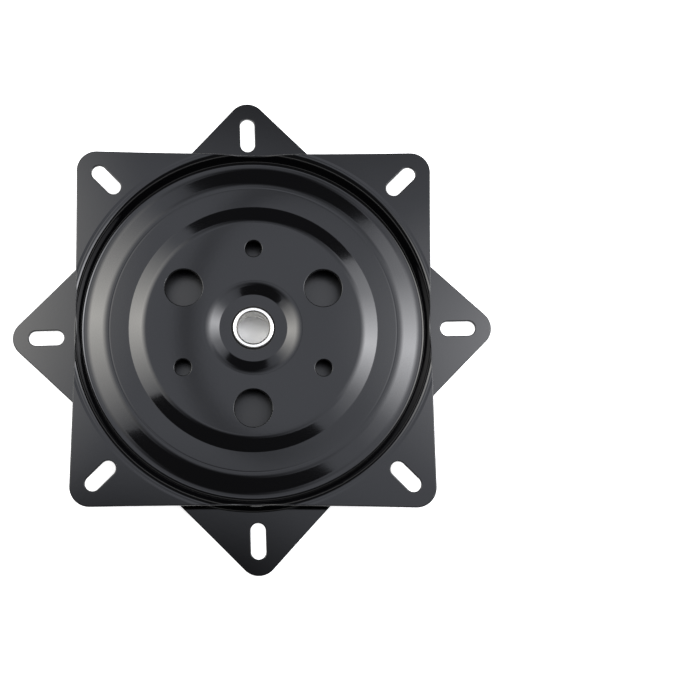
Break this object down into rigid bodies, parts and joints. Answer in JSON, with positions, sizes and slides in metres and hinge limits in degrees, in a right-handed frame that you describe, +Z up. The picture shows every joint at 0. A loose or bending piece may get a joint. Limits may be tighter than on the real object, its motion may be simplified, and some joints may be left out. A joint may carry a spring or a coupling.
{
  "type": "seat swivel plate",
  "caption": "Low turntable of two dished square steel plates set about 45 degrees apart, joined by a hollow centre rivet over a ring of balls.",
  "frame": {"origin": "on the swivel axis, in the plane of the lower plate's mounting flanges", "axes": "+Z up along the swivel axis, +X and +Y through the lower plate's corner slots"},
  "size_m": [0.273, 0.273, 0.0268],
  "materials": {
    "black_coat": "semi-gloss black coating on pressed sheet steel",
    "bright_rivet": "bright nickel plate",
    "zinc_spacer": "turned and zinc plated",
    "cage_plastic": "moulded natural nylon",
    "ball_steel": "polished"
  },
  "bodies": {
    "lower_body": {"lower_plate": "black_coat", "centre_rivet": "bright_rivet", "centre_spacer": "zinc_spacer"},
    "upper_body": {"upper_plate": "black_coat"},
    "ball_ring": {"ball_cage": "cage_plastic", "bearing_ball_01": "ball_steel", "bearing_ball_02": "ball_steel", "bearing_ball_03": "ball_steel", "bearing_ball_04": "ball_steel", "bearing_ball_05": "ball_steel", "bearing_ball_06": "ball_steel", "bearing_ball_07": "ball_steel", "bearing_ball_08": "ball_steel", "bearing_ball_09": "ball_steel", "bearing_ball_10": "ball_steel", "bearing_ball_11": "ball_steel", "bearing_ball_12": "ball_steel", "bearing_ball_13": "ball_steel", "bearing_ball_14": "ball_steel", "bearing_ball_15": "ball_steel", "bearing_ball_16": "ball_steel", "bearing_ball_17": "ball_steel", "bearing_ball_18": "ball_steel", "bearing_ball_19": "ball_steel", "bearing_ball_20": "ball_steel", "bearing_ball_21": "ball_steel", "bearing_ball_22": "ball_steel", "bearing_ball_23": "ball_steel", "bearing_ball_24": "ball_steel"}
  },
  "joints": [
    {"name": "swivel", "type": "hinge", "parent": "lower_body", "child": "upper_body", "pos_m": [0, 0, 0.0134], "axis": [0, 0, 1], "continuous": true},
    {"name": "cage_turn", "type": "hinge", "parent": "lower_body", "child": "ball_ring", "pos_m": [0, 0, 0.0134], "axis": [0, 0, 1], "continuous": true}
  ],
  "couplings": [
    {"joint": "cage_turn", "follows": "swivel", "ratio": 0.5}
  ]
}
